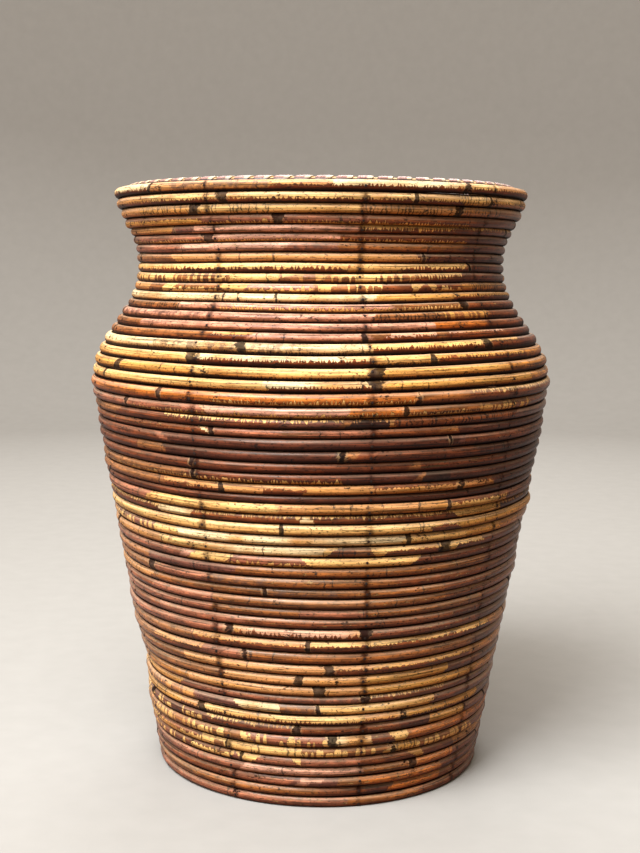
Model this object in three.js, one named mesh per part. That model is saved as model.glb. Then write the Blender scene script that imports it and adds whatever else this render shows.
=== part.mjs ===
// Reed floor vase: lengths of round cane wound in level courses over nine bent uprights, with a
// notched board for a bottom and a strip-bound hoop at the mouth. Millimetres, +Z up, front at -Y,
// origin on the floor under the middle of the board.
import * as THREE from 'three';

// Wall: radii and rises of the middle line of the cane
const FOOT_RADIUS = 126;
const BELLY_RADIUS = 178;
const NECK_RADIUS = 141;
const RIM_RADIUS = 158.5;
const BODY_RISE = 306.5;
const SHOULDER_RISE = 90.5;
const MOUTH_RISE = 54;

// Wall: how far the curve keeps to the upright at the belly, the neck and the rim
const BELLY_HOLD_BELOW = 16;
const BELLY_HOLD_ABOVE = 33;
const NECK_HOLD_BELOW = 39;
const NECK_HOLD_ABOVE = 24;
const RIM_HOLD_BELOW = 13;

// Uprights: bent laths inside the wall, one of them a little right of the front
const UPRIGHTS = 9;
const FRONT_UPRIGHT_DEGREES = 11.8;
const UPRIGHT_WIDTH = 14;
const UPRIGHT_THICKNESS = 5;
const UPRIGHT_GAP = 0.6;
const BODY_STATIONS = 4;
const UPPER_STATIONS = 12;

// Cane: a bay is the stretch from one upright to the next, and every length ends on an upright. The
// first length is the longest, and the others share the rest of the winding evenly
const CANE_DIAMETER = 7.4;
const COURSE_GAP = 0.6;
const CANES = 18;
const FIRST_CANE_BAYS = 43;
const SCARF_LENGTH = 16;
const SPLICE_GAP = 0.8;
const CANE_SIDES = 5;
const STEPS_PER_BAY = 3;

// Bottom board, which the vase stands on
const BOARD_THICKNESS = 12;
const BOARD_GAP = 0.3;
const FLOOR_GAP = 0.5;

// Rim hoop and the split-cane strips wound round it
const HOOP_SIDE = 7;
const HOOP_RISE = 2;
const RIM_GAP = 0.4;
const STRIPS = 3;
const WRAPS_PER_STRIP = 22;
const STRIP_WIDTH = 9;
const STRIP_THICKNESS = 1;
const STRIP_GAP = 0.8;
const WRAP_STEPS = 4;

// Finishes, and the bark of each cane length from the foot upwards
const FINISHES = {
  straw: { color: 0xddb672, roughness: 0.5 },
  honey: { color: 0xbd8544, roughness: 0.42 },
  russet: { color: 0x87492c, roughness: 0.38 },
  dark: { color: 0x4c2b1e, roughness: 0.36 },
  lath: { color: 0xb08a58, roughness: 0.7 },
  board: { color: 0xa98a62, roughness: 0.8 },
  hoop: { color: 0xd9b988, roughness: 0.6 },
  binding: { color: 0x8f5a42, roughness: 0.5 },
};
const CANE_BARK = [
  'russet', 'russet', 'straw', 'honey', 'honey', 'honey', 'russet', 'straw', 'dark',
  'dark', 'dark', 'honey', 'straw', 'russet', 'straw', 'honey', 'russet', 'straw',
];

// Angles of the winding, which starts and climbs in the bay at the back
const BAY_ANGLE = 2 * Math.PI / UPRIGHTS;
const HALF_STEP = BAY_ANGLE / STEPS_PER_BAY / 2;
const BAYS_TO_BACK = Math.ceil(UPRIGHTS / 2);
const START_ANGLE = THREE.MathUtils.degToRad(FRONT_UPRIGHT_DEGREES) + BAYS_TO_BACK * BAY_ANGLE;

// The round of the wall has flats; the middle of a flat reaches this share of the radius
const FLAT_REACH = Math.cos(HALF_STEP);

// The cane's section has a corner outwards and a flat side on the uprights
const SECTION_RADIUS = CANE_DIAMETER / (2 * Math.sin(2 * Math.PI / CANE_SIDES));
const SECTION_FLAT = SECTION_RADIUS * Math.cos(Math.PI / CANE_SIDES);

// Heights of the wall's turning points
const FOOT_HEIGHT = FLOOR_GAP + SECTION_RADIUS;
const BELLY_HEIGHT = FOOT_HEIGHT + BODY_RISE;
const NECK_HEIGHT = BELLY_HEIGHT + SHOULDER_RISE;
const RIM_HEIGHT = NECK_HEIGHT + MOUTH_RISE;

// Middle line of the wall from the foot course to the rim course, as radius and height
const at = (radius, height) => new THREE.Vector2(radius, height);
const wall = new THREE.CurvePath();
wall.add(new THREE.QuadraticBezierCurve(
  at(FOOT_RADIUS, FOOT_HEIGHT),
  at(BELLY_RADIUS, BELLY_HEIGHT - BELLY_HOLD_BELOW),
  at(BELLY_RADIUS, BELLY_HEIGHT),
));
wall.add(new THREE.CubicBezierCurve(
  at(BELLY_RADIUS, BELLY_HEIGHT),
  at(BELLY_RADIUS, BELLY_HEIGHT + BELLY_HOLD_ABOVE),
  at(NECK_RADIUS, NECK_HEIGHT - NECK_HOLD_BELOW),
  at(NECK_RADIUS, NECK_HEIGHT),
));
wall.add(new THREE.CubicBezierCurve(
  at(NECK_RADIUS, NECK_HEIGHT),
  at(NECK_RADIUS, NECK_HEIGHT + NECK_HOLD_ABOVE),
  at(RIM_RADIUS, RIM_HEIGHT - RIM_HOLD_BELOW),
  at(RIM_RADIUS, RIM_HEIGHT),
));
const WALL_LENGTH = wall.getLength();
const COURSES = Math.floor(WALL_LENGTH / (CANE_DIAMETER + COURSE_GAP)) + 1;

// A point of the wall with its directions up along the wall and out of it
function onWall(share) {
  const up = wall.getTangent(share);
  return { middle: wall.getPoint(share), up, out: at(up.y, -up.x) };
}

// A point in space on the flat-sided round of the wall, counted in bays from the start
function place(radius, height, bay) {
  const middleOfFlat = Math.round(bay * STEPS_PER_BAY) / STEPS_PER_BAY;
  const reach = radius * FLAT_REACH / Math.cos((bay - middleOfFlat) * BAY_ANGLE);
  const angle = START_ANGLE + bay * BAY_ANGLE;
  return new THREE.Vector3(reach * Math.sin(angle), -reach * Math.cos(angle), height);
}

// A closed body through sections of equal corner count
function tube(sections) {
  const sides = sections[0].length;
  const last = (sections.length - 1) * sides;
  const corners = [];
  for (let near = 0; near < last; near += sides) {
    for (let side = 0; side < sides; side += 1) {
      const a = near + side;
      const b = near + (side + 1) % sides;
      corners.push(a, a + sides, b, b, a + sides, b + sides);
    }
  }
  for (let side = 1; side + 1 < sides; side += 1) {
    corners.push(0, side, side + 1);
    corners.push(last, last + side + 1, last + side);
  }
  const geometry = new THREE.BufferGeometry().setFromPoints(sections.flat());
  geometry.setIndex(corners);
  geometry.computeVertexNormals();
  return geometry;
}

// The least gap between each section and the one that lies a turn further on
function leastGap(sections, stepsPerTurn) {
  const edge = new THREE.Line3();
  const nearest = new THREE.Vector3();
  let least = Infinity;
  for (let step = 0; step + stepsPerTurn < sections.length; step += 1) {
    const next = sections[step + stepsPerTurn];
    for (const corner of sections[step]) {
      next.forEach((point, side) => {
        edge.set(point, next[(side + 1) % next.length]);
        edge.closestPointToPoint(corner, true, nearest);
        least = Math.min(least, corner.distanceTo(nearest));
      });
    }
  }
  return least;
}

// A named piece with a finish of its own
function piece(name, geometry, finish) {
  const material = new THREE.MeshStandardMaterial({ ...FINISHES[finish], metalness: 0 });
  const mesh = new THREE.Mesh(geometry, material);
  mesh.name = name;
  return mesh;
}

// Each course is level but for the bay at the back, where it climbs to the next
function caneShare(bay) {
  const course = Math.floor(bay / UPRIGHTS);
  const bayOfCourse = bay - course * UPRIGHTS;
  const climb = THREE.MathUtils.smoothstep(bayOfCourse, UPRIGHTS - 1, UPRIGHTS);
  return (course + climb) / (COURSES - 1);
}

// A section of the cane; at a cut end it slants, and stands back from the splice
function caneSection(bay, cutSide = 0) {
  const { middle, up, out } = onWall(caneShare(bay));
  const section = [];
  for (let side = 0; side < CANE_SIDES; side += 1) {
    const turn = 2 * Math.PI * side / CANE_SIDES;
    const outwards = SECTION_RADIUS * Math.cos(turn);
    const upwards = SECTION_RADIUS * Math.sin(turn);
    const radius = middle.x + out.x * outwards + up.x * upwards;
    const height = middle.y + out.y * outwards + up.y * upwards;
    const slant = Math.abs(cutSide) * SCARF_LENGTH * upwards / CANE_DIAMETER;
    const shift = slant + cutSide * SPLICE_GAP / 2;
    section.push(place(radius, height, bay + shift / (radius * BAY_ANGLE)));
  }
  return section;
}

function caneSections(startBay, endBay) {
  const sections = [caneSection(startBay, 1)];
  for (let step = 0.5; step < (endBay - startBay) * STEPS_PER_BAY; step += 1) {
    sections.push(caneSection(startBay + step / STEPS_PER_BAY));
  }
  sections.push(caneSection(endBay, -1));
  return sections;
}

// The uprights that the lengths end on, counted in bays; the winding stops before the last climb
function caneEnds() {
  const lastBay = COURSES * UPRIGHTS - 1;
  const caneBays = (lastBay - FIRST_CANE_BAYS) / (CANES - 1);
  const ends = [0];
  for (let index = 0; index < CANES; index += 1) {
    ends.push(Math.round(FIRST_CANE_BAYS + index * caneBays));
  }
  return ends;
}

// The lengths follow each other up the wall
function makeCanes() {
  const canes = new THREE.Group();
  const ends = caneEnds();
  let least = Infinity;
  for (let index = 0; index < CANES; index += 1) {
    const sections = caneSections(ends[index], ends[index + 1]);
    least = Math.min(least, leastGap(sections.slice(1, -1), UPRIGHTS * STEPS_PER_BAY));
    const name = `cane_${String(index + 1).padStart(2, '0')}`;
    canes.add(piece(name, tube(sections), CANE_BARK[index % CANE_BARK.length]));
  }
  console.log(`canes: ${COURSES} courses, least gap of a cane to itself ${least.toFixed(2)} mm`);
  return canes;
}

// The bound hoop stands inside the rim course, on the ends of the uprights
const BOUND_HALF = HOOP_SIDE / 2 + STRIP_GAP + STRIP_THICKNESS;
const HOOP_RADIUS = RIM_RADIUS - SECTION_RADIUS - RIM_GAP - BOUND_HALF;
const HOOP_HEIGHT = RIM_HEIGHT + HOOP_RISE;
const UPRIGHT_TOP = HOOP_HEIGHT - BOUND_HALF - RIM_GAP;

function makeHoop() {
  const half = HOOP_SIDE / 2;
  const outline = [
    at(HOOP_RADIUS - half, HOOP_HEIGHT - half),
    at(HOOP_RADIUS + half, HOOP_HEIGHT - half),
    at(HOOP_RADIUS + half, HOOP_HEIGHT + half),
    at(HOOP_RADIUS - half, HOOP_HEIGHT + half),
    at(HOOP_RADIUS - half, HOOP_HEIGHT - half),
  ];
  const steps = UPRIGHTS * STEPS_PER_BAY;
  const ring = new THREE.LatheGeometry(outline, steps, START_ANGLE + HALF_STEP);
  ring.rotateX(Math.PI / 2);
  return piece('rim_hoop', ring, 'hoop');
}

// A section of a binding strip at one corner of the hoop, counted in wraps from the start
function stripSection(wraps) {
  const bay = wraps * UPRIGHTS / (STRIPS * WRAPS_PER_STRIP);
  const sideways = STRIP_WIDTH / 2 / (HOOP_RADIUS * BAY_ANGLE);
  const turn = 2 * Math.PI * wraps - Math.PI / WRAP_STEPS;
  const inner = (HOOP_SIDE / 2 + STRIP_GAP) / Math.cos(Math.PI / WRAP_STEPS);
  const outer = BOUND_HALF / Math.cos(Math.PI / WRAP_STEPS);
  const corner = (reach, shift) => place(
    HOOP_RADIUS + reach * Math.cos(turn),
    HOOP_HEIGHT + reach * Math.sin(turn),
    bay + shift,
  );
  return [
    corner(inner, -sideways),
    corner(inner, sideways),
    corner(outer, sideways),
    corner(outer, -sideways),
  ];
}

function makeBinding() {
  const binding = new THREE.Group();
  let least = Infinity;
  for (let strip = 0; strip < STRIPS; strip += 1) {
    const sections = [];
    for (let step = 0; step < WRAPS_PER_STRIP * WRAP_STEPS; step += 1) {
      sections.push(stripSection(strip * WRAPS_PER_STRIP + step / WRAP_STEPS));
    }
    least = Math.min(least, leastGap(sections, WRAP_STEPS));
    binding.add(piece(`rim_binding_${strip + 1}`, tube(sections), 'binding'));
  }
  console.log(`rim binding: least gap of a strip to itself ${least.toFixed(2)} mm`);
  return binding;
}

// The two edges of an upright along the inner side of the wall, with both ends cut level
function uprightEdges() {
  const bodyShare = wall.curves[0].getLength() / WALL_LENGTH;
  const topShare = 1 - (RIM_HEIGHT - UPRIGHT_TOP) / WALL_LENGTH;
  const shares = [];
  for (let station = 0; station < BODY_STATIONS; station += 1) {
    shares.push(bodyShare * station / BODY_STATIONS);
  }
  for (let station = 0; station <= UPPER_STATIONS; station += 1) {
    shares.push(bodyShare + (topShare - bodyShare) * station / UPPER_STATIONS);
  }
  const outer = [];
  const inner = [];
  for (const share of shares) {
    const { middle, out } = onWall(share);
    const back = middle.clone().addScaledVector(out, -SECTION_FLAT);
    back.x *= FLAT_REACH;
    back.addScaledVector(out, -UPRIGHT_GAP);
    outer.push(back);
    inner.push(back.clone().addScaledVector(out, -UPRIGHT_THICKNESS));
  }
  for (const edge of [outer, inner]) {
    edge[0].y = FOOT_HEIGHT;
    edge[edge.length - 1].y = UPRIGHT_TOP;
  }
  return { outer, inner };
}

function makeUprights() {
  const uprights = new THREE.Group();
  const { outer, inner } = uprightEdges();
  const shape = new THREE.Shape([...outer, ...inner.reverse()]);
  for (let index = 0; index < UPRIGHTS; index += 1) {
    const lath = new THREE.ExtrudeGeometry(shape, { depth: UPRIGHT_WIDTH, bevelEnabled: false });
    lath.translate(0, 0, -UPRIGHT_WIDTH / 2);
    lath.rotateX(Math.PI / 2);
    const upright = piece(`upright_${index + 1}`, lath, 'lath');
    upright.rotation.z = START_ANGLE + index * BAY_ANGLE - Math.PI / 2;
    uprights.add(upright);
  }
  return uprights;
}

// The board fills the foot course, with a notch at each upright
function makeBoard() {
  const edgeRadius = FOOT_RADIUS - SECTION_RADIUS - BOARD_GAP;
  const notchFloor = uprightEdges().inner[0].x - UPRIGHT_GAP;
  const notchHalf = UPRIGHT_WIDTH / 2 + UPRIGHT_GAP;
  const outline = [];
  for (let bay = 0; bay < UPRIGHTS; bay += 1) {
    const angle = START_ANGLE + bay * BAY_ANGLE;
    const beside = (reach, sideways) => at(
      reach * Math.sin(angle) + sideways * Math.cos(angle),
      sideways * Math.sin(angle) - reach * Math.cos(angle),
    );
    outline.push(beside(edgeRadius * FLAT_REACH, -notchHalf));
    outline.push(beside(notchFloor, -notchHalf));
    outline.push(beside(notchFloor, notchHalf));
    outline.push(beside(edgeRadius * FLAT_REACH, notchHalf));
    for (let step = 0.5; step < STEPS_PER_BAY; step += 1) {
      const corner = place(edgeRadius, 0, bay + step / STEPS_PER_BAY);
      outline.push(at(corner.x, corner.y));
    }
  }
  const shape = new THREE.Shape(outline);
  const board = new THREE.ExtrudeGeometry(shape, { depth: BOARD_THICKNESS, bevelEnabled: false });
  return piece('base_board', board, 'board');
}

const vase = new THREE.Group();
vase.name = 'reed_floor_vase';
vase.add(makeBoard(), makeUprights(), makeCanes(), makeHoop(), makeBinding());

export default vase;
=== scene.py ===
import math
import random

import bmesh
import bpy
import numpy as np
from mathutils import Matrix, Vector


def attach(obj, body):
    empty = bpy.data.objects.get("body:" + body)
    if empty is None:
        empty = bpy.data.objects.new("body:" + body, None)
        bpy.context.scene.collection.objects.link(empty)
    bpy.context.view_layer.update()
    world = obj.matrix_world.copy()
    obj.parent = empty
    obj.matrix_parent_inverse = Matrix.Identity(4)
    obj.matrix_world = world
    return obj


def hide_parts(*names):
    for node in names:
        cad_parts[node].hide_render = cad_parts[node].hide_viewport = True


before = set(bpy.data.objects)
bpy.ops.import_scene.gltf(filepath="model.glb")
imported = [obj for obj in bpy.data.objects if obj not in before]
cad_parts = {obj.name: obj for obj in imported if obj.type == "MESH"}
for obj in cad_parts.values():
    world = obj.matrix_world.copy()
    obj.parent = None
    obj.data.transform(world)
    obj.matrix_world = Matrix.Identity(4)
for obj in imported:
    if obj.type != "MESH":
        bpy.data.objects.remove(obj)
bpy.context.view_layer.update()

# Bottom board: a disc sawn from 12 mm plywood, with nine notches in its edge for the uprights.
# Its faces are bare veneer and its edge shows the plies. The lowest courses are wound round it.
# All sizes are in millimetres, and angles are in degrees from the front.
BOARD_RADIUS = 121.8
BOARD_THICKNESS = 12.0
BOARD_ARRIS = 0.8
PLY_THICKNESS = 2.4
NOTCH_HALF = 7.6
NOTCH_FLOOR = 116.0
ARC_STEPS = 14
UPRIGHTS = 9
BAY = 360 / UPRIGHTS
FRONT_UPRIGHT = 11.8
FIRST_UPRIGHT = FRONT_UPRIGHT - UPRIGHTS // 2 * BAY


def together(*values):
    """Several values, spread over the same grid, as one array with a row for each place on it."""
    return np.stack(np.broadcast_arrays(*values), -1)


def place(radius, height, degrees):
    """A point in metres, from millimetres; 0 degrees is the front and they grow to the right."""
    turn = np.radians(degrees)
    return together(radius * np.sin(turn), -radius * np.cos(turn), height) * 0.001


def colour(red, green, blue):
    """The light values of a colour given as the eye reads it, 0 to 255."""
    return tuple(((c / 255 + 0.055) / 1.055) ** 2.4 for c in (red, green, blue)) + (1.0,)


class Nodes:
    """Sets nodes into one node tree and joins them as they are set."""

    def __init__(self, tree):
        self.tree = tree

    def join(self, value, socket):
        if isinstance(value, bpy.types.NodeSocket):
            self.tree.links.new(value, socket)
        elif value is not None:
            socket.default_value = value

    def put(self, kind, *values, **settings):
        node = self.tree.nodes.new("ShaderNode" + kind)
        for setting, value in settings.items():
            setattr(node, setting, value)
        for socket, value in zip(node.inputs, values):
            self.join(value, socket)
        return node

    def calc(self, operation, *values):
        return self.put("Math", *values, operation=operation).outputs[0]

    def chain(self, operation, first, *others):
        for other in others:
            first = self.calc(operation, first, other)
        return first

    def times(self, *values):
        return self.chain("MULTIPLY", *values)

    def plus(self, *values):
        return self.chain("ADD", *values)

    def minus(self, *values):
        return self.chain("SUBTRACT", *values)

    def most(self, *values):
        return self.chain("MAXIMUM", *values)

    def over(self, value, by):
        return self.calc("DIVIDE", value, by)

    def rest(self, share):
        return self.minus(1.0, share)

    def step(self, value, low, high):
        return self.put("MapRange", value, low, high, interpolation_type="SMOOTHSTEP").outputs[0]

    def spread(self, value, low, high):
        return self.put("MapRange", value, 0.0, 1.0, low, high).outputs[0]

    def mix(self, share, first, second):
        node = self.put("Mix", share, data_type="RGBA")
        self.join(first, node.inputs[6])
        self.join(second, node.inputs[7])
        return node.outputs[2]

    def dim(self, shade, value):
        return self.put("VectorMath", shade, None, None, value, operation="SCALE").outputs[0]

    def scaled(self, vector, by):
        return self.put("VectorMath", vector, by, operation="MULTIPLY").outputs[0]

    def spot(self):
        """Where a point of the piece lies, in mm."""
        return self.scaled(self.put("TexCoord").outputs["Object"], (1000.0, 1000.0, 1000.0))

    def parts(self, vector):
        return self.put("SeparateXYZ", vector).outputs[:]

    def point(self, x, y, z):
        return self.put("CombineXYZ", x, y, z).outputs[0]

    def noise(self, where, scale, detail=2.0, roughness=0.5):
        return self.put("TexNoise", where, None, scale, detail, roughness).outputs[0]

    def chance(self, number, seed):
        picked = self.plus(number, seed)
        return self.put("TexWhiteNoise", None, picked, noise_dimensions="1D").outputs[0]

    def mark(self, name):
        return self.put("Attribute", attribute_name=name).outputs["Vector"]

    def bump(self, height, strength, distance):
        node = self.put("Bump", strength, distance)
        self.join(height, node.inputs["Height"])
        return node.outputs[0]

    def effect(self, group, **values):
        node = self.tree.nodes.new("ShaderNodeGroup")
        node.node_tree = group
        for socket, value in values.items():
            self.join(value, node.inputs[socket.replace("_", " ").capitalize()])
        return node.outputs


def effect_group(name, inputs, outputs):
    """An empty node group with its named inputs, as kind and value, and its named outputs."""
    tree = bpy.data.node_groups.new(name, "ShaderNodeTree")
    for socket, (kind, value) in inputs.items():
        made = tree.interface.new_socket(socket, in_out="INPUT", socket_type="NodeSocket" + kind)
        if value is not None:
            made.default_value = value
    for socket, kind in outputs.items():
        tree.interface.new_socket(socket, in_out="OUTPUT", socket_type="NodeSocket" + kind)
    given = tree.nodes.new("NodeGroupInput").outputs
    out = tree.nodes.new("NodeGroupOutput").inputs
    return tree, Nodes(tree), given, out


# Fibre: long streaks and soft blotches of wood that runs along the first axis of Where, in mm.
fibre_group, n, given, out = effect_group(
    "Wood fibre",
    {"Where": ("Vector", None), "Length": ("Float", 40.0), "Width": ("Float", 0.6)},
    {"Fibre": "Float", "Blotch": "Float"},
)
along, across, deep = n.parts(given["Where"])
streak = n.point(
    n.over(along, given["Length"]),
    n.over(across, given["Width"]),
    n.over(deep, given["Width"]),
)
n.join(n.noise(streak, 1.0, 4.0, 0.62), out["Fibre"])
n.join(n.noise(given["Where"], 0.07, 3.0, 0.55), out["Blotch"])


def finish(name, roughness, **constants):
    """A new material, its nodes and its shader, with the values that are the same all over it."""
    material = bpy.data.materials.new(name)
    material.use_nodes = True
    shader = material.node_tree.nodes["Principled BSDF"]
    shader.inputs["Roughness"].default_value = roughness
    for socket, value in constants.items():
        shader.inputs[socket.replace("_", " ").title().replace("Ior", "IOR")].default_value = value
    return material, Nodes(material.node_tree), shader.inputs


def fit(piece, material, slot, *nodes):
    """Gives a made piece its material and its place in the frame."""
    piece.data.materials.append(material)
    bpy.context.scene.collection.objects.link(piece)
    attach(piece, "root")
    if nodes:
        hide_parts(*nodes)


ply, n, shader = finish("Bare plywood", 0.75, specular_ior_level=0.25)
where = n.spot()
fibre, blotch = n.effect(fibre_group, where=where, length=90.0, width=1.6)
height = n.parts(where)[2]
plies = n.calc("PINGPONG", n.plus(height, PLY_THICKNESS / 2), PLY_THICKNESS)
facing = n.calc("ABSOLUTE", n.parts(n.put("NewGeometry").outputs["Normal"])[2])
edge = n.times(n.step(facing, 0.6, 0.3), n.step(plies, 1.0, 1.5))
wood = n.mix(fibre, colour(138, 104, 66), colour(196, 162, 112))
wood = n.mix(n.times(edge, 0.7), wood, colour(92, 62, 36))
n.join(n.dim(wood, n.spread(blotch, 0.6, 1.25)), shader["Base Color"])
n.join(n.bump(fibre, 0.5, 0.0005), shader["Normal"])

corner = math.degrees(math.asin(NOTCH_HALF / BOARD_RADIUS))
deep = math.degrees(math.atan(NOTCH_HALF / NOTCH_FLOOR))
floor_reach = math.hypot(NOTCH_HALF, NOTCH_FLOOR)
arc = BAY - 2 * corner
outline = []
for upright in range(UPRIGHTS):
    middle = FIRST_UPRIGHT + upright * BAY
    outline += [(BOARD_RADIUS, middle - corner), (floor_reach, middle - deep)]
    outline += [(floor_reach, middle + deep), (BOARD_RADIUS, middle + corner)]
    outline += [(BOARD_RADIUS, middle + corner + arc * step / ARC_STEPS) for step in range(1, ARC_STEPS)]
board_mesh = bpy.data.meshes.new("bottom_board")
bm = bmesh.new()
under = [bm.verts.new(place(r, 0.0, a)) for r, a in outline]
over = [bm.verts.new(place(r, BOARD_THICKNESS, a)) for r, a in outline]
bm.faces.new(under[::-1])
bm.faces.new(over)
for one, two, three, four in zip(under, under[1:] + under[:1], over[1:] + over[:1], over):
    bm.faces.new((one, two, three, four))
arrises = [e for e in bm.edges if abs(e.verts[0].co.z - e.verts[1].co.z) < 1e-6]
bmesh.ops.bevel(bm, geom=arrises, offset=BOARD_ARRIS * 0.001, segments=2, affect="EDGES", profile=0.5)
bm.to_mesh(board_mesh)
bm.free()
fit(bpy.data.objects.new("bottom_board", board_mesh), ply, "board", "base_board")


# Uprights: nine laths split from thick cane, bent to the wall's curve and let into the board's
# notches. They stand on the inside, and every course is nailed to every one of them.
FOOT_RADIUS, BELLY_RADIUS, NECK_RADIUS, RIM_RADIUS = 126.0, 178.0, 141.0, 158.5
BODY_RISE, SHOULDER_RISE, MOUTH_RISE = 306.5, 90.5, 54.0
FOOT_HEIGHT = 4.39
BELLY_HEIGHT = FOOT_HEIGHT + BODY_RISE
NECK_HEIGHT = BELLY_HEIGHT + SHOULDER_RISE
RIM_HEIGHT = NECK_HEIGHT + MOUTH_RISE
BELLY_HOLD_BELOW, BELLY_HOLD_ABOVE = 16, 33
NECK_HOLD_BELOW, NECK_HOLD_ABOVE = 39, 24
RIM_HOLD_BELOW = 13
BEND_POINTS = 300
UPRIGHT_WIDTH = 14.0
UPRIGHT_THICKNESS = 5.0
UPRIGHT_SET_IN = 4.4
UPRIGHT_FOOT, UPRIGHT_TOP = 1.0, 451.0
UPRIGHT_STEPS = 90
UPRIGHT_BOW, UPRIGHT_BOW_RUN = 0.25, 37
GRAIN_APART = 700


def bend(*holds):
    """Points along the smooth bend that a few hold points give."""
    t = np.linspace(0, 1, BEND_POINTS)[:, None]
    points = np.array(holds, float)[:, None, :] + np.zeros((1, BEND_POINTS, 2))
    while len(points) > 1:
        points = points[:-1] * (1 - t) + points[1:] * t
    return points[0]


foot, belly = (FOOT_RADIUS, FOOT_HEIGHT), (BELLY_RADIUS, BELLY_HEIGHT)
neck, rim = (NECK_RADIUS, NECK_HEIGHT), (RIM_RADIUS, RIM_HEIGHT)
wall = np.concatenate([
    bend(foot, (BELLY_RADIUS, BELLY_HEIGHT - BELLY_HOLD_BELOW), belly),
    bend(belly, (BELLY_RADIUS, BELLY_HEIGHT + BELLY_HOLD_ABOVE),
         (NECK_RADIUS, NECK_HEIGHT - NECK_HOLD_BELOW), neck)[1:],
    bend(neck, (NECK_RADIUS, NECK_HEIGHT + NECK_HOLD_ABOVE),
         (RIM_RADIUS, RIM_HEIGHT - RIM_HOLD_BELOW), rim)[1:],
])
wall_run = np.concatenate([[0], np.cumsum(np.hypot(*np.diff(wall, axis=0).T))])
wall_lean = np.gradient(wall, wall_run, axis=0)
wall_lean /= np.hypot(*wall_lean.T)[:, None]


def on_wall(run):
    """Radius, height and upward direction of the wall's middle line at a distance up it."""
    return [np.interp(run, wall_run, line) for line in (*wall.T, *wall_lean.T)]


# How a long piece's skin is laid out in rows: the share of a row that it fills, and the cut ends.
ROW_FILL, ROW_LEAD = 0.96, 0.01
BAND_FILL, BAND_LEAD = 0.92, 0.04
CUT_PLACES, CUT_RADIUS = (0.2, 0.7), 0.4


def loft(name, rings, closed=False, **marks):
    """A closed mesh through rings of points, in metres, with its marks at the points.
    Its skin is also laid out in rows, as the OFBake map, so that a long piece bakes finely."""
    count, sides = rings.shape[:2]
    spans = count if closed else count - 1
    ring = np.arange(spans)[:, None]
    side = np.arange(sides)[None, :]
    after = (ring + 1) % count
    beside = (side + 1) % sides
    quads = together(ring * sides + side, after * sides + side,
                     after * sides + beside, ring * sides + beside).reshape(-1, 4)
    points = rings.reshape(-1, 3)
    a, b, c, d = (points[quads[:, k]] for k in range(4))
    inside_out = (np.cross(c - a, d - b) * (a - points.mean(0))).sum() < 0
    order = -1 if inside_out else 1
    faces = quads.tolist()
    if not closed:
        faces += [list(range(sides)), list(range((count - 1) * sides, count * sides))[::-1]]
    faces = [face[::order] for face in faces]
    mesh = bpy.data.meshes.new(name)
    mesh.from_pydata(points.tolist(), [], faces)

    middle = rings.mean(1)
    gone = np.linalg.norm(np.diff(np.concatenate([middle, middle[:1]]), axis=0), axis=1)
    run = np.concatenate([[0], np.cumsum(gone)])[: spans + 1]
    girth = np.linalg.norm(rings - np.roll(rings, 1, 1), axis=2).sum(1).mean()
    rows = max(1, round(math.sqrt(run[-1] / girth)))
    row = np.minimum((run[:-1] / run[-1] * rows).astype(int), rows - 1)[:, None]
    start, end = ((at[:, None] / run[-1] * rows - row) * ROW_FILL + ROW_LEAD for at in (run[:-1], run[1:]))
    low, high = ((row + BAND_LEAD + BAND_FILL * at / sides) / (rows + 1) for at in (side, side + 1))
    corners = [together(u, v) for u, v in ((start, low), (end, low), (end, high), (start, high))]
    laid = np.stack(corners, 2).reshape(-1, 4, 2)[:, ::order].reshape(-1, 2)
    if not closed:
        for face, across in zip(faces[-2:], CUT_PLACES):
            turn = 2 * np.pi * (np.array(face) % sides) / sides
            disc = together(np.cos(turn), np.sin(turn)) * CUT_RADIUS / (rows + 1)
            laid = np.concatenate([laid, disc + [across, 1 - 0.5 / (rows + 1)]])
    mesh.uv_layers.new(name="OFBake").data.foreach_set("uv", laid.ravel())
    for mark, values in marks.items():
        held = mesh.attributes.new(mark, "FLOAT_VECTOR", "POINT")
        held.data.foreach_set("vector", np.asarray(values, np.float32).ravel())
    mesh.polygons.foreach_set("use_smooth", [True] * len(mesh.polygons))
    mesh.set_sharp_from_angle(angle=math.radians(50))
    return bpy.data.objects.new(name, mesh)


lath, n, shader = finish("Split lath", 0.7, specular_ior_level=0.3)
fibre, blotch = n.effect(fibre_group, where=n.mark("lie"), length=45.0, width=0.7)
wood = n.mix(fibre, colour(118, 82, 46), colour(196, 154, 98))
n.join(n.dim(wood, n.spread(blotch, 0.6, 1.3)), shader["Base Color"])
n.join(n.spread(fibre, 0.85, 0.6), shader["Roughness"])
n.join(n.bump(fibre, 0.6, 0.0006), shader["Normal"])

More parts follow.
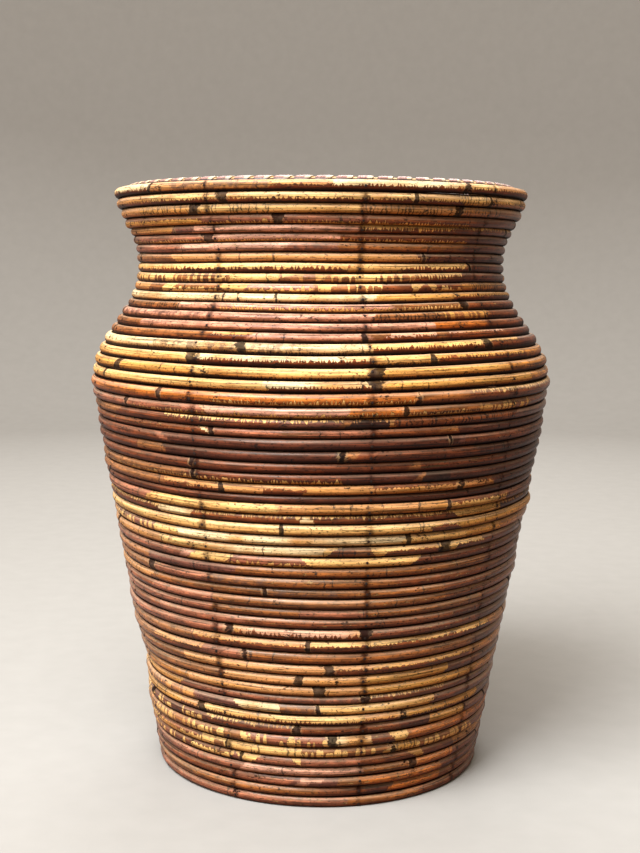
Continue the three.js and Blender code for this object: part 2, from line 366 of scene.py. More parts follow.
run = np.linspace(UPRIGHT_FOOT, np.interp(UPRIGHT_TOP, wall[:, 1], wall_run), UPRIGHT_STEPS)
radius, height, up_r, up_z = (line[:, None] for line in on_wall(run))
half, thick = UPRIGHT_WIDTH / 2, UPRIGHT_THICKNESS
across = np.array([-half, -half, -half + 0.5, -half + 1.6, 0, half - 1.6, half - 0.5, half, half,
                   half - 0.9, half - 2.2, 0, 2.2 - half, 0.9 - half])
inward = np.array([thick * 0.6, 1.3, 0.4, 0.05, 0, 0.05, 0.4, 1.3, thick * 0.6,
                   thick - 0.6, thick - 0.1, thick, thick - 0.1, thick - 0.6])
depth = UPRIGHT_SET_IN + inward[None, :]
reach = radius - up_z * depth
shifts = random.Random(9)
for number in range(UPRIGHTS):
    bow = UPRIGHT_BOW * np.sin(run / UPRIGHT_BOW_RUN + shifts.uniform(0, 6))[:, None]
    rings = place(np.hypot(reach, across + bow), height + up_r * depth,
                  FIRST_UPRIGHT + number * BAY + np.degrees(np.arctan2(across + bow, reach)))
    lie = together(run[:, None] + GRAIN_APART * number, across[None, :], depth)
    upright = loft(f"lath_{number + 1}", rings, lie=lie)
    fit(upright, lath, "lath", f"upright_{number + 1}")


# Wall: 18 lengths of round rattan, pencil thick with the bark on, wound in 59 level courses over
# the uprights and joined by slanted splices. Bark is scraped off in stretches, which shows straw
# coloured core; dark rings are the joints of the cane. All is varnished.
COURSES = 59
CANES = 18
FIRST_CANE_BAYS = 43
LAST_BAY = COURSES * UPRIGHTS - 1
CANE_BAYS = (LAST_BAY - FIRST_CANE_BAYS) / (CANES - 1)
CANE_ENDS = [0] + [round(FIRST_CANE_BAYS + cane * CANE_BAYS) for cane in range(CANES)]
CANE_SLOTS = ("russet russet straw honey honey honey russet straw dark dark dark honey straw russet "
              "straw honey russet straw").split()
SCARF_LENGTH, SPLICE_GAP, SPLICE_EASE = 16.0, 0.5, 45
CANE_HALF = 4.0
PRESSED = 1.035
THICKNESS = {"thin": 5.9, "fine": 6.7, "slim": 7.4, "even": 8.0, "full": 8.6, "stout": 9.4}
CORE = {
    "cream": (246, 217, 165), "straw": (248, 196, 120), "gold": (220, 160, 82),
    "sand": (212, 149, 91), "peach": (218, 162, 131),
}
BARK = {
    "honey": (192, 124, 52), "amber": (202, 116, 46), "copper": (158, 94, 43), "tan": (160, 102, 57),
    "blush": (213, 153, 125), "rose": (164, 99, 70), "russet": (138, 74, 37), "brown": (118, 60, 32),
    "mauve": (124, 74, 58), "dark": (92, 46, 28), "umber": (62, 31, 20),
}
# How the bark lies: the height on the cane, -1 to 1, between which it stays, the reach of the
# teeth at its upper and lower edge and their spacing in mm, then patches, flecks, cracks, worn
# streaks and grey mottling as shares of 1.
WHOLE = dict(low=-2, high=2, upper=0, lower=0, spacing=3, patches=0, flecks=.2, cracks=.02,
             streaks=.1, mottle=.2)
SCRAPED = dict(WHOLE, high=-.9, upper=.35, spacing=2.4, flecks=.15, streaks=0, mottle=.05)
LIES = {
    "fringe": dict(high=-.42, upper=.65, spacing=2.8),
    "teeth": dict(high=-.25, upper=.62, spacing=3.4, flecks=.3),
    "sawn": dict(high=-.4, upper=1.0, spacing=4.6),
    "notched": dict(high=.65, upper=-1.1, spacing=2.7, flecks=.35),
    "nicked": dict(high=.86, upper=-.72, spacing=3.2, flecks=.3),
    "dashed": dict(low=-.58, high=2, lower=-.85, spacing=3.0, flecks=.3),
    "ragged": dict(low=.6, high=2, lower=.6, spacing=4.2),
    "half": dict(high=.12, upper=.4, spacing=6, flecks=.4),
    "scalloped": dict(low=-.6, high=2, upper=0, lower=-1.15, spacing=7.5),
    "beaded": dict(patches=.85, spacing=3.1),
    "patched": dict(patches=.7, spacing=7),
    "pecked": dict(patches=-.9, spacing=3.1, flecks=.3),
    "cracked": dict(cracks=.7),
    "split": dict(cracks=.3),
    "flecked": dict(flecks=.5, streaks=.25),
    "streaked": dict(streaks=.8, flecks=.35),
    "mottled": dict(mottle=.85, flecks=.35),
}
# Courses from the rim down: how thick the cane is, then how its skin looks across the front, with
# the degrees at which the next look begins, then the degrees of its dark joint rings, w for wide
# ones and t for thin ones.
COURSE_SKINS = [[part.strip() for part in row.split(";")] for row in """\
slim; cream/fringe -50 sand/mottled -12 sand/teeth 3 cream/teeth 40 straw/teeth 52 sand/teeth; -50 39.5w
even; sand/fringe -50 straw/teeth 38 straw/cracked 49 honey/teeth; -25.5w 24 49
even; sand -58 gold/cracked -34 straw/cracked -12 straw 10 sand/cracked 38 honey/cracked 50 tan; -35w 38w
even; gold/ragged -34 rose/dashed 12 russet/dashed 45 brown; -11.5w
fine; sand/flecked -46 mauve -38 blush/streaked 10 russet/notched 40 brown/nicked; -45t
fine; rose/dashed -33 blush/dashed 5 russet/dashed 45 brown; -33w
slim; rose -45 blush/flecked -10 rose/mottled 5 copper/flecked 45 brown;
slim; tan -48 sand/flecked 29 brown/flecked; 30
slim; straw/sawn 8 straw 23 straw/sawn 47 brown; 48.5
slim; straw/beaded -26 straw -12 straw/patched 1 straw/beaded 27 russet/notched 44 brown;
slim; sand -60 tan -52 straw -47 tan/scalloped -29 straw -21 blush/scalloped -2 straw/beaded 17 russet \
26 straw 29 russet 32 straw 34 russet/scalloped 44 honey/cracked;
slim; cream -36 cream/mottled -27 cream 15 gold/flecked 40 gold/teeth; -27.5t -23t -12t
slim; tan/cracked -42 blush/flecked -28 blush/dashed 20 tan/dashed 44 russet/flecked; -42t 43w
even; blush/mottled -33 blush 14 tan/cracked 33 gold/beaded 52 russet;
even; tan -55 blush 30 amber 48 russet;
even; tan -28 peach/teeth -17 blush 12 tan 16 peach/sawn 30 tan 33 peach/half 56 brown; 10.5
stout; cream -44 cream/mottled -5 cream/flecked 12 straw/fringe 45 gold/half 60 brown; -19w 44.5w
full; straw -30 cream/fringe 12 straw/flecked 27 gold/teeth 60 honey; -31w 26.5
full; gold -30 straw/flecked 12 gold/flecked 50 honey; -56w 12.5w
even; straw -12 cream/fringe 12 gold/flecked 60 honey; -63 12.5w
stout; amber -25 amber/dashed 22 copper 35 russet/nicked; -38.5 22
even; rose/flecked -50 rose/dashed -26 peach -23 blush/dashed 6 amber/dashed 19 copper/dashed 38 \
copper/pecked 60 russet; -51 19
slim; tan -56 brown -37 brown/nicked -9 mauve/nicked 4 tan 6 umber/nicked 16 sand 17 russet/cracked 50 \
brown;
fine; russet/flecked -27 cream -26 rose/streaked 12 russet 27 copper/flecked 33 dark; -25
full; brown -40 rose -37 dark 33 mauve 35 brown/flecked; 31t
full; brown -49 tan -39 dark 3 umber 6 tan 8 brown 40 dark; 5
even; brown/streaked -28 brown 21 tan 24 brown/streaked 50 dark; -31
even; tan/dashed -33 brown/dashed 5 dark 23 tan 25 umber 32 dark; -31
even; tan -40 sand/half -33 sand/teeth -23.5 sand -13 sand/half -3 sand 13 sand/ragged 48 dark; -23.5 36w
thin; brown -20 dark;
full; rose/flecked -48 straw/flecked -10 sand/flecked 33 straw/ragged 55 brown; 33
fine; brown/nicked -44 cream -33 russet/nicked -4.5 cream -2 russet/nicked 36 straw/flecked 53 \
dark/nicked;
full; straw/flecked 28 straw/half 37 gold/flecked; -9
even; rose/pecked -47 straw -38 cream/flecked 21 straw/flecked 40 gold/flecked 55 honey; 22.5
even; sand -45 straw/flecked -28 cream 1 straw/cracked 3 russet/cracked 9 tan 13 straw 17 straw/half 33 \
straw 37 straw/half 48 brown; 33.5w
even; rose/flecked -38 blush -35 straw -23.5 rose/scalloped -3 straw/flecked 25 brown/flecked;
even; tan -52 mauve -22 copper/flecked 50 brown;
even; tan -52 rose/flecked -29 tan/mottled -12 copper/flecked 20 russet/flecked 50 brown; -51w
slim; sand/streaked -52 copper/flecked -14 tan/mottled 5 copper/flecked 35 russet/flecked; -14
even; russet -53 rose/flecked -28 copper/flecked -12 tan 14 copper/flecked 36 russet/flecked;
slim; rose/flecked -30 copper/flecked -5 rose/flecked 12 copper/flecked 52 brown;
even; russet -50 rose/flecked -20 russet/flecked 40 brown/flecked;
full; rose -24 peach/sawn 12 brown/flecked 50 dark; -25w 12.3w
stout; tan/flecked -38 sand/half -3 straw/half 60 honey; -3
stout; tan -57 sand/half -35 rose -20 copper 25 copper/flecked 50 brown; -20.5
full; copper/flecked -42 sand/flecked 3 sand/half 14 gold/half 50 honey; 3.2w
full; tan/streaked -28 sand/streaked -5 sand/flecked 13 gold/streaked 40 brown; -5.7w
even; honey -42 sand/flecked 14 gold/flecked 55 honey; 0.3w
fine; gold -46 rose/flecked -15 rose/mottled 13 russet/nicked 40 brown/flecked; 13.5w
full; sand/beaded -40 mauve/flecked -24 cream -11 tan/mottled 0.5 straw/flecked 36.5 brown; 0
even; gold -48 sand/teeth -38 straw/fringe 14 sand/teeth 26 gold/fringe 60 brown; -38w 26w
full; brown/pecked -38 brown/nicked -6 russet/flecked 25 dark/flecked 36 gold/flecked 52 brown; -6.5w
stout; tan/pecked -28 tan -24 straw -21 rose/pecked 4 cream 17 brown/flecked 23 straw 28 amber/flecked; 4w
full; straw/ragged -40 straw/patched -28 straw/split -5 tan/pecked 23 gold/cracked 32 copper/pecked 60 \
brown; -30t 23.5w
even; russet/pecked -46 straw/ragged -34 tan/pecked -28 mauve -25 straw -20 rose/flecked -6.5 straw -5 \
rose/flecked 13 russet/flecked 31.5 straw 35.5 brown 50 honey; -25
even; rose/flecked -25 blush/flecked 14 copper/flecked 31 amber/flecked 50 brown; 31.8w
full; russet/flecked -30 rose/flecked -8.5 mauve -6.5 blush -2.5 mauve -1 blush 0.5 mauve 6 tan/flecked \
14 amber/flecked 45 brown;
even; tan/flecked -45 copper/flecked 0 russet 16 dark 24 amber/flecked 45 russet/flecked;
full; rose/flecked 10 copper/flecked 35 russet/flecked 52 brown;""".split("\n")]
RING_HALVES = {"t": 0.3, "": 0.6, "w": 1.25}

# Thickness and place of each course, from the foot up; each is pressed a little into the next.
course_girth = np.array([THICKNESS[skin[0]] for skin in COURSE_SKINS][::-1])
course_run = np.concatenate([[0], np.cumsum((course_girth[1:] + course_girth[:-1]) / 2)])
course_girth *= PRESSED * wall_run[-1] / course_run[-1]
course_run *= wall_run[-1] / course_run[-1]


def skin_values(look):
    """Colours and wear of one look as a row of numbers."""
    tone, _, lie = look.partition("/")
    if tone in CORE:
        kind, core = SCRAPED, CORE[tone]
        bark = BARK["tan" if lie in ("beaded", "patched") else "russet"]
    else:
        kind, bark = WHOLE, BARK[tone]
        core = CORE["sand" if tone in ("dark", "umber") else "straw"]
    return [*colour(*bark)[:3], *colour(*core)[:3], *dict(kind, **LIES.get(lie, {})).values()]


# Round the back, in degrees: where the front's looks and rings end, and how long each next one is.
LEFT_END, RIGHT_END, LOOK_LENGTH = (78, 100), (76, 100), (14, 50)
RINGS_LEFT, RINGS_RIGHT = -70, 62
RING_LEAD, RING_APART, BACK_RING_HALF = (5, 60), (35, 80), (0.3, 1.2)


def course_marks(course):
    """Looks, where they begin and the joint rings round a whole course; the back is made up
    of the same looks as the front of this course and the next ones."""
    pick = random.Random(course)
    words = COURSE_SKINS[course][1].split()
    looks, starts = words[0::2], [float(w) for w in words[1::2]]
    near = range(max(0, course - 1), min(COURSES, course + 2))
    others = [word for c in near for word in COURSE_SKINS[c][1].split()[0::2]]
    rings = [(float(w.rstrip("tw")), RING_HALVES[w.lstrip("-.0123456789")])
             for w in COURSE_SKINS[course][2].split()]
    reach = -pick.uniform(*LEFT_END)
    while reach > FIRST_UPRIGHT:
        looks.insert(0, pick.choice(others))
        starts.insert(0, reach)
        reach -= pick.uniform(*LOOK_LENGTH)
    reach = pick.uniform(*RIGHT_END)
    while reach < FIRST_UPRIGHT + 360:
        looks.append(pick.choice(others))
        starts.append(reach)
        reach += pick.uniform(*LOOK_LENGTH)
    for begin, end in ((FIRST_UPRIGHT, RINGS_LEFT), (RINGS_RIGHT, FIRST_UPRIGHT + 360)):
        reach = begin + pick.uniform(*RING_LEAD)
        while reach < end:
            rings.append((reach, pick.uniform(*BACK_RING_HALF)))
            reach += pick.uniform(*RING_APART)
    return looks, starts, rings


marks_of = [course_marks(course) for course in range(COURSES)]
sway = random.Random(590)


def make_waves(count, shortest, longest):
    """Waves along the wound cane, each with its length in bays and where it starts."""
    return [(sway.uniform(shortest, longest), sway.uniform(0, 6.3)) for _ in range(count)]


def add_waves(waves, bays):
    return sum(np.sin(2 * np.pi * bays / length + start) for length, start in waves)


bow_waves = make_waves(7, 2.2, 11)
girth_waves = make_waves(5, 0.5, 3.5)
ring_edges = {(course, ring): [sway.uniform(-0.8, 0.8) for _ in range(4)]
              for course, (_, _, rings) in enumerate(marks_of) for ring, _ in rings}
edge_slant = [[sway.uniform(-2.2, 2.2) for _ in starts] for _, starts, _ in marks_of]


# Where the wall has been pushed in or stands out: course from the rim, degrees, how far out in
# mm, and how wide in degrees and in courses.
DENTS = (
    (48.5, -86, -3.2, 25, 3.0),
    (33, 84, 2.2, 14, 0.8),
    (39.5, 86, 2.4, 14, 0.9),
    (29.5, -86, 1.5, 16, 1.0),
)
# How the canes stray from the true wall: up and down, in and out, in thickness and at the joints.
COURSE_WAVES, WAVE_FADE = ((0.5, 2, 61), (0.3, 5, -43)), 40
BOW_SIZE, STANDS_OUT = 0.16, 0.6
WALL_WAVE, WALL_WAVES_A_TURN, WALL_WAVE_RUN = 0.5, 3, 80
GIRTH_SIZE = 0.004
JOINT_SWELL, JOINT_LENGTH = 0.05, 3.0


def on_cane(bays, turn, proud=0.0):
    """Points of the wound canes, in metres: bays wound from the foot, turn round the cane from its
    outer side upwards, and how far the point stands proud of the surface."""
    course = np.floor(bays / UPRIGHTS)
    climb = np.clip(bays - course * UPRIGHTS - (UPRIGHTS - 1), 0, 1)
    level = course + climb * climb * (3 - 2 * climb)
    degrees = FIRST_UPRIGHT + bays * BAY
    steps = np.arange(COURSES)
    girth = np.interp(level, steps, course_girth)
    girth = girth * (1 + GIRTH_SIZE * add_waves(girth_waves, bays))
    run = np.interp(level, steps, course_run)
    wave = sum(size * np.sin(np.radians(turns * degrees) + run / length)
               for size, turns, length in COURSE_WAVES)
    run = run + wave * np.clip(np.minimum(run, wall_run[-1] - run) / WAVE_FADE, 0, 1)
    radius, height, up_r, up_z = on_wall(run)
    bow = BOW_SIZE * add_waves(bow_waves, bays) + STANDS_OUT
    bow = bow + WALL_WAVE * np.sin(np.radians(WALL_WAVES_A_TURN * degrees) + run / WALL_WAVE_RUN)
    front = (degrees + 180) % 360 - 180
    for from_rim, spot, reach, wide, courses in DENTS:
        near = ((COURSES - from_rim - level) / courses) ** 2 + ((front - spot) / wide) ** 2
        bow = bow + reach * np.exp(-near)
    swell = np.zeros_like(bays)
    for number in np.unique(np.clip(course, 0, COURSES - 1)).astype(int):
        for ring, _ in marks_of[COURSES - 1 - number][2]:
            far = (degrees - 360 * number - ring) * np.pi / 180 * radius
            swell += (course == number) * JOINT_SWELL * np.exp(-(far / JOINT_LENGTH) ** 2)
    half = girth / 2 * (1 + swell) + proud
    outwards, upwards = half * np.cos(turn) + bow, half * np.sin(turn)
    height = np.maximum(height - up_r * outwards + up_z * upwards, 0)
    return place(radius + up_z * outwards + up_r * upwards, height, degrees)


# The lines of nails: degrees off their upright at foot and rim, how nails stray, and their stains.
NAIL_LINES, OTHER_LINE = {3: (-0.4, -2.2), 4: (1.6, -1.3), 5: (1.0, -1.8)}, (0.8, -1.6)
NAIL_STRAY, NAIL_TILT = 0.22, (-0.35, 0.3)
NAIL_STAIN, WEAK_LINES = (0.3, 1.1), {2: 0.25, 5: 0.8}
STAIN_LENGTH, STAIN_HEIGHT = 2.8, 6.5


def nail_spot(bay):
    """Where one nail goes in: bays wound from the foot, and turn round the cane; then its stain."""
    upright, course = bay % UPRIGHTS, bay // UPRIGHTS
    low, high = NAIL_LINES.get(upright, OTHER_LINE)
    pick = random.Random(bay)
    lean = low + (high - low) * course / (COURSES - 1) + pick.gauss(0, NAIL_STRAY)
    strength = pick.uniform(*NAIL_STAIN) * WEAK_LINES.get(upright, 1.0)
    return bay + lean / BAY, pick.uniform(*NAIL_TILT), strength


# The rings of a cane's mesh, spaced in bays and closer beside a mark, and the edges of its marks.
CANE_SIDES = 16
RING_STEP, FINE_REACH, FINE_STEPS, LEAST_STEP = 0.0275, 0.06, 15, 0.004
CANE_APART = 4000
RAGGED_EDGE, RAGGED_WAVES = (0.1, 0.28), (1, 2, 3, 5)
RING_SOFT, RING_SLOPE = 0.6, 1.2
turn = 2 * np.pi * np.arange(CANE_SIDES) / CANE_SIDES
row_of = {look: skin_values(look) for _, words, _ in COURSE_SKINS for look in words.split()[0::2]}


def wind_cane(name, first, last):
    """One length of cane between two splices, with the marks of its skin."""
    spots = []
    for number in range(first // UPRIGHTS, last // UPRIGHTS + 1):
        _, starts, rings = marks_of[COURSES - 1 - number]
        marked = starts + [ring for ring, _ in rings]
        spots += [number * UPRIGHTS + (mark - FIRST_UPRIGHT) / BAY for mark in marked]
    spots = [spot for spot in spots if first < spot < last]
    close = np.add.outer(spots, np.linspace(-FINE_REACH, FINE_REACH, FINE_STEPS)).ravel()
    close = close[(close > first) & (close < last)]
    bays = np.unique(np.concatenate([np.arange(first, last, RING_STEP), close, [last]]).round(4))
    bays = bays[np.concatenate([[True], np.diff(bays) > LEAST_STEP])]
    bays[-1] = last

    # The slanted cut of a splice, eased out over the next bit of cane.
    course = np.floor(bays / UPRIGHTS).astype(int)
    bay_length = np.radians(BAY) * on_wall(course_run[course])[0]
    ease_first = np.clip(1 - (bays - first) * bay_length / SPLICE_EASE, 0, 1)
    ease_last = np.clip(1 - (last - bays) * bay_length / SPLICE_EASE, 0, 1)
    slant = SCARF_LENGTH * np.sin(turn) / 2
    shift = ease_first[:, None] * (slant + SPLICE_GAP / 2) + ease_last[:, None] * (slant - SPLICE_GAP / 2)
    wound = bays[:, None] + shift / bay_length[:, None]
    around = turn[None, :] + np.zeros_like(wound)
    rings = on_cane(wound, around)

    gone = np.linalg.norm(np.diff(rings.mean(1), axis=0), axis=1) * 1000
    along = np.concatenate([[0], np.cumsum(gone)]) + CANE_APART * CANE_ENDS.index(first)
    lie = together(along[:, None] + shift, np.cos(around), np.sin(around))

    values = np.zeros((*wound.shape, 6 + len(WHOLE)))
    ring_mark = np.zeros_like(wound)
    nail_mark = np.zeros_like(wound)
    wave = random.Random(name)
    ragged = sum(
        wave.uniform(*RAGGED_EDGE) * np.sin(k * around + wave.uniform(0, 6) + bays[:, None] * k * 9)
        for k in RAGGED_WAVES)
    wound_course = np.clip(np.floor(wound / UPRIGHTS), 0, COURSES - 1).astype(int)
    degrees = FIRST_UPRIGHT + (wound - wound_course * UPRIGHTS) * BAY
    per_degree = np.radians(on_wall(course_run[wound_course])[0])
    for number in np.unique(wound_course):
        here = wound_course == number
        looks, starts, rings_here = marks_of[COURSES - 1 - number]
        table = np.array([row_of[look] for look in looks])
        rise = np.sin(around[here])
        reached = [degrees[here] + ragged[here] + slope * rise > start
                   for start, slope in zip(starts, edge_slant[COURSES - 1 - number])]
        values[here] = table[np.sum(reached, axis=0)]
        for ring, half in rings_here:
            lean, other_lean, curve, other_curve = ring_edges[COURSES - 1 - number, ring]
            far = (degrees[here] - ring) / half
            begun = far + 1 + lean * rise - curve * rise ** 2
            ended = far - 1 + other_lean * rise - other_curve * rise ** 2
            begun = np.clip(RING_SOFT + RING_SLOPE * begun, 0, 1)
            ended = np.clip(RING_SOFT - RING_SLOPE * ended, 0, 1)
            ring_mark[here] = np.maximum(ring_mark[here], begun * ended)
        for bay in range(number * UPRIGHTS, number * UPRIGHTS + UPRIGHTS):
            spot, tilt, strength = nail_spot(bay)
            far = (wound[here] - spot) * BAY * per_degree[here] / STAIN_LENGTH
            off = ((around[here] + np.pi) % (2 * np.pi) - np.pi - tilt) * CANE_HALF / STAIN_HEIGHT
            nail_mark[here] = np.maximum(nail_mark[here], strength * np.exp(-far ** 2 - off ** 2))
    skin = {word: values[..., 6 + column] for column, word in enumerate(WHOLE)}
    return loft(
        name, rings, lie=lie, bark=values[..., :3], core=values[..., 3:6],
        cover=together(skin["low"], skin["high"], skin["patches"]),
        teeth=together(skin["upper"], skin["lower"], skin["spacing"]),
        wear=together(skin["flecks"], skin["cracks"], skin["streaks"]),
        marks=together(skin["mottle"], ring_mark, nail_mark),
    )


# Skin of the cane: bark over core with its teeth, patches and chips, then cracks, mottling, joint
# rings and iron stains round the nails; then a painted highlight along the top of each cane,
# painted shade on its underside and painted shade in the grooves between the courses.
AGED_CORE = colour(204, 142, 74)
GREY_MOTTLE = colour(92, 66, 58)
RING_BLACK, RING_GREY, RING_PALE = colour(20, 12, 9), colour(78, 64, 54), colour(206, 172, 124)
IRON_STAIN = colour(46, 24, 18)
# Painted highlight: the pale colour laid along the top of each cane.
PAINTED_TOP_HIGHLIGHT = colour(248, 221, 190)
# Painted shade: the dark, warm tint that darkens the underside of each cane.
CLEAR, UNDERSIDE_SHADE = (1.0, 1.0, 1.0, 1.0), (0.46, 0.25, 0.1, 1.0)
# Painted shade for the grooves between the courses, and the heights in mm over which the upper edge's
# shade stops on the top course.
GROOVE_SHADE = colour(16, 5, 2)
GROOVE_SHADE_TOP = (457.8, 456.0)
# A darker tone for the inner side of each cane.
INNER_SIDE_TONE = colour(84, 58, 38)

skin_group, n, given, out = effect_group(
    "Cane skin",
    # The second input sets how strong the painted highlight is, the third how dark the painted groove
    # shade is.
    {"Varnish": ("Float", 0.4), "Rubbed": ("Float", 0.6), "Groove shade": ("Float", 0.95),
     "Fibre": ("Float", 1.0)},
    {"Colour": "Color", "Roughness": "Float", "Coat": "Float", "Height": "Float"},
)
along, outer, up = n.parts(n.mark("lie"))
low, high, patches = n.parts(n.mark("cover"))
upper, lower, spacing = n.parts(n.mark("teeth"))
flecks, cracks, streaks = n.parts(n.mark("wear"))
mottle, ring, nail = n.parts(n.mark("marks"))
where = n.point(along, n.times(outer, CANE_HALF), n.times(up, CANE_HALF))
fibre, blotch = n.effect(fibre_group, where=where, length=34.0, width=0.45)
streaky, _ = n.effect(fibre_group, where=where, length=60.0, width=1.15)
speck = n.noise(n.scaled(where, (0.4, 0.75, 0.75)), 1.0, 3.0, 0.6)
rough_edge = n.times(n.minus(speck, 0.5), 0.8)
drift = n.noise(n.point(along, 0.0, 0.0), 0.11, 2.0)
stretch = n.noise(n.point(along, 7.0, 0.0), 0.021, 3.0, 0.6)

# Teeth at the bark's edges, one after another along the cane, each with its own lean and reach.
teeth_run = n.plus(n.over(along, spacing), n.times(drift, 5.0))
tooth_number = n.calc("FLOOR", teeth_run)
tooth_lean = n.spread(n.chance(tooth_number, 91.7), 0.3, 0.7)
tooth_part = n.calc("FRACT", teeth_run)
tooth = n.calc("MINIMUM", n.over(tooth_part, tooth_lean), n.over(n.rest(tooth_part), n.rest(tooth_lean)))
tooth = n.calc("POWER", tooth, 1.25)
tooth = n.times(tooth, n.spread(n.chance(tooth_number, 0.37), 0.55, 1.1))
tooth = n.times(tooth, n.spread(n.step(stretch, 0.35, 0.5), 0.75, 1.0))
bark_top = n.plus(n.calc("MULTIPLY_ADD", tooth, upper, high), n.times(rough_edge, 0.5))
bark_foot = n.minus(low, n.times(tooth, lower), n.times(rough_edge, 0.5))
kept = n.times(n.step(n.minus(up, bark_top), 0.09, -0.09), n.step(n.minus(up, bark_foot), -0.09, 0.09))

# Patches of bark on the core, or holes in the bark where their share is below 0.
patch_run = n.plus(n.over(along, n.times(spacing, 2.0)), n.times(drift, 2.5))
patch_number = n.calc("FLOOR", patch_run)
patch_half = n.spread(n.chance(patch_number, 7.7), 0.22, 0.5)
patch_off = n.minus(n.calc("FRACT", patch_run), n.spread(n.chance(patch_number, 2.9), 0.42, 0.58))
patch_off = n.calc("POWER", n.calc("ABSOLUTE", n.over(patch_off, patch_half)), 3.0)
patch_up = n.minus(up, n.spread(n.chance(patch_number, 11.3), -0.5, 0.1))
patch_up = n.over(patch_up, n.spread(n.chance(patch_number, 13.9), 0.55, 1.2))
patch_far = n.plus(patch_off, n.plus(n.times(patch_up, patch_up), rough_edge))
patch = n.step(patch_far, 1.12, 0.88)
patch = n.times(patch, n.calc("LESS_THAN", n.chance(patch_number, 5.1), n.calc("ABSOLUTE", patches)))
hole = n.times(patch, n.calc("LESS_THAN", patches, 0.0))
kept = n.minus(n.most(kept, patch), hole)

# Pale flecks, dark scabs and long worn streaks.
fleck_noise = n.noise(n.scaled(where, (0.16, 0.8, 0.8)), 1.0, 4.0, 0.65)
fleck = n.step(n.minus(fleck_noise, n.spread(flecks, 0.76, 0.44)), 0.0, 0.05)
scab = n.step(n.minus(n.spread(flecks, 0.32, 0.46), fleck_noise), -0.02, 0.04)
streak_noise = n.noise(n.scaled(where, (0.03, 0.55, 0.55)), 1.0, 3.0, 0.6)
streak = n.step(n.minus(streak_noise, n.spread(streaks, 0.82, 0.5)), 0.0, 0.1)
worn = n.most(n.times(fleck, 0.85), n.times(streak, 0.5))
kept = n.times(kept, n.rest(worn))

# Cracks across the cane.
crack_run = n.calc("MULTIPLY_ADD", along, 0.36, n.times(n.noise(where, 0.3), 1.8))
crack = n.step(n.calc("ABSOLUTE", n.minus(n.calc("FRACT", crack_run), 0.5)), 0.3, 0.13)
crack = n.times(crack, n.calc("LESS_THAN", n.chance(n.calc("FLOOR", crack_run), 23.3), cracks))
crack = n.times(crack, n.step(n.noise(where, 0.28), 0.36, 0.48))

# Core and bark, shaded by fibre, edges, scabs, cracks and specks.
core = n.mix(n.step(stretch, 0.42, 0.7), n.mark("core"), AGED_CORE)
smudge = n.step(n.noise(n.scaled(where, (0.1, 0.32, 0.32)), 1.0, 3.0, 0.6), 0.3, 0.7)
bark_shade = n.times(n.spread(n.step(stretch, 0.3, 0.7), 0.78, 1.22), n.spread(smudge, 0.76, 1.22))
tone = n.mix(kept, core, n.dim(n.mark("bark"), bark_shade))
edge = n.times(kept, n.rest(kept))
line = n.step(streaky, 0.45, 0.33)
shade = n.times(n.spread(n.step(fibre, 0.3, 0.7), 0.6, 1.36), n.spread(smudge, 0.9, 1.1))
shade = n.times(shade, n.spread(n.step(streaky, 0.3, 0.7), 0.62, 1.34))
spotted = n.step(speck, 0.56, 0.64)
for mask, share in ((edge, 3.2), (scab, 0.75), (crack, 0.75), (line, 0.55), (spotted, 0.66)):
    shade = n.times(shade, n.rest(n.times(mask, share)))
tone = n.dim(tone, shade)

# Grey mottling, joint rings with pale rims, and iron stains.
cloud = n.noise(where, 0.2, 4.0, 0.65)
grey = n.step(n.plus(cloud, n.times(mottle, 0.2)), 0.62, 0.76)
tone = n.mix(n.times(grey, n.spread(mottle, 0.25, 0.7)), tone, GREY_MOTTLE)
ring_rough = n.times(n.plus(rough_edge, n.minus(blotch, 0.5)), 2.2)
ring_dark = n.step(n.plus(ring, ring_rough), 0.35, 0.65)
ring_pale = n.times(n.step(ring, 0.03, 0.2), n.rest(ring_dark))
ring_tone = n.mix(n.step(cloud, 0.42, 0.66), RING_BLACK, RING_GREY)
tone = n.mix(n.times(ring_pale, 0.3), tone, RING_PALE)
tone = n.mix(n.times(ring_dark, 0.92), tone, ring_tone)
stain = n.step(n.plus(nail, n.times(rough_edge, 1.3)), 0.05, 0.8)
tone = n.mix(n.times(stain, 0.76), tone, IRON_STAIN)

# Painted highlight along the top of each cane, painted shade on its underside, and painted shade
# in the grooves between the courses.
rubbed = n.times(n.step(up, 0.26, 0.62), n.step(up, 0.97, 0.85), given["Rubbed"])
rubbed = n.times(rubbed, n.spread(n.step(streaky, 0.25, 0.75), 0.1, 0.75))
rubbed = n.times(rubbed, n.rest(n.most(ring_dark, stain)))
tone = n.mix(rubbed, tone, PAINTED_TOP_HIGHLIGHT)
# Painted shade: the lower part of each cane goes darker and warmer, from higher up where the bark is kept.
painted_underside_shade = n.step(up, n.spread(kept, 0.1, 0.45), -0.85)
tone = n.scaled(tone, n.mix(painted_underside_shade, CLEAR, UNDERSIDE_SHADE))
# Painted shade in the grooves: the lower and upper edges of each cane go dark where the next course shuts
# out the light.
below = n.step(up, n.spread(kept, -0.46, -0.34), -0.83)
height = n.parts(n.spot())[2]
above = n.times(n.step(up, 0.81, 0.93), n.step(height, *GROOVE_SHADE_TOP))
# The inner side of each cane is made darker.
inner = n.step(outer, 0.05, -0.5)
painted_groove_shade = n.calc("MINIMUM", n.plus(below, above), 1.0)
painted_groove_shade = n.times(painted_groove_shade, given["Groove shade"], n.spread(speck, 0.85, 1.15))
tone = n.mix(painted_groove_shade, tone, GROOVE_SHADE)
n.join(n.mix(n.times(inner, 0.35), tone, INNER_SIDE_TONE), out["Colour"])

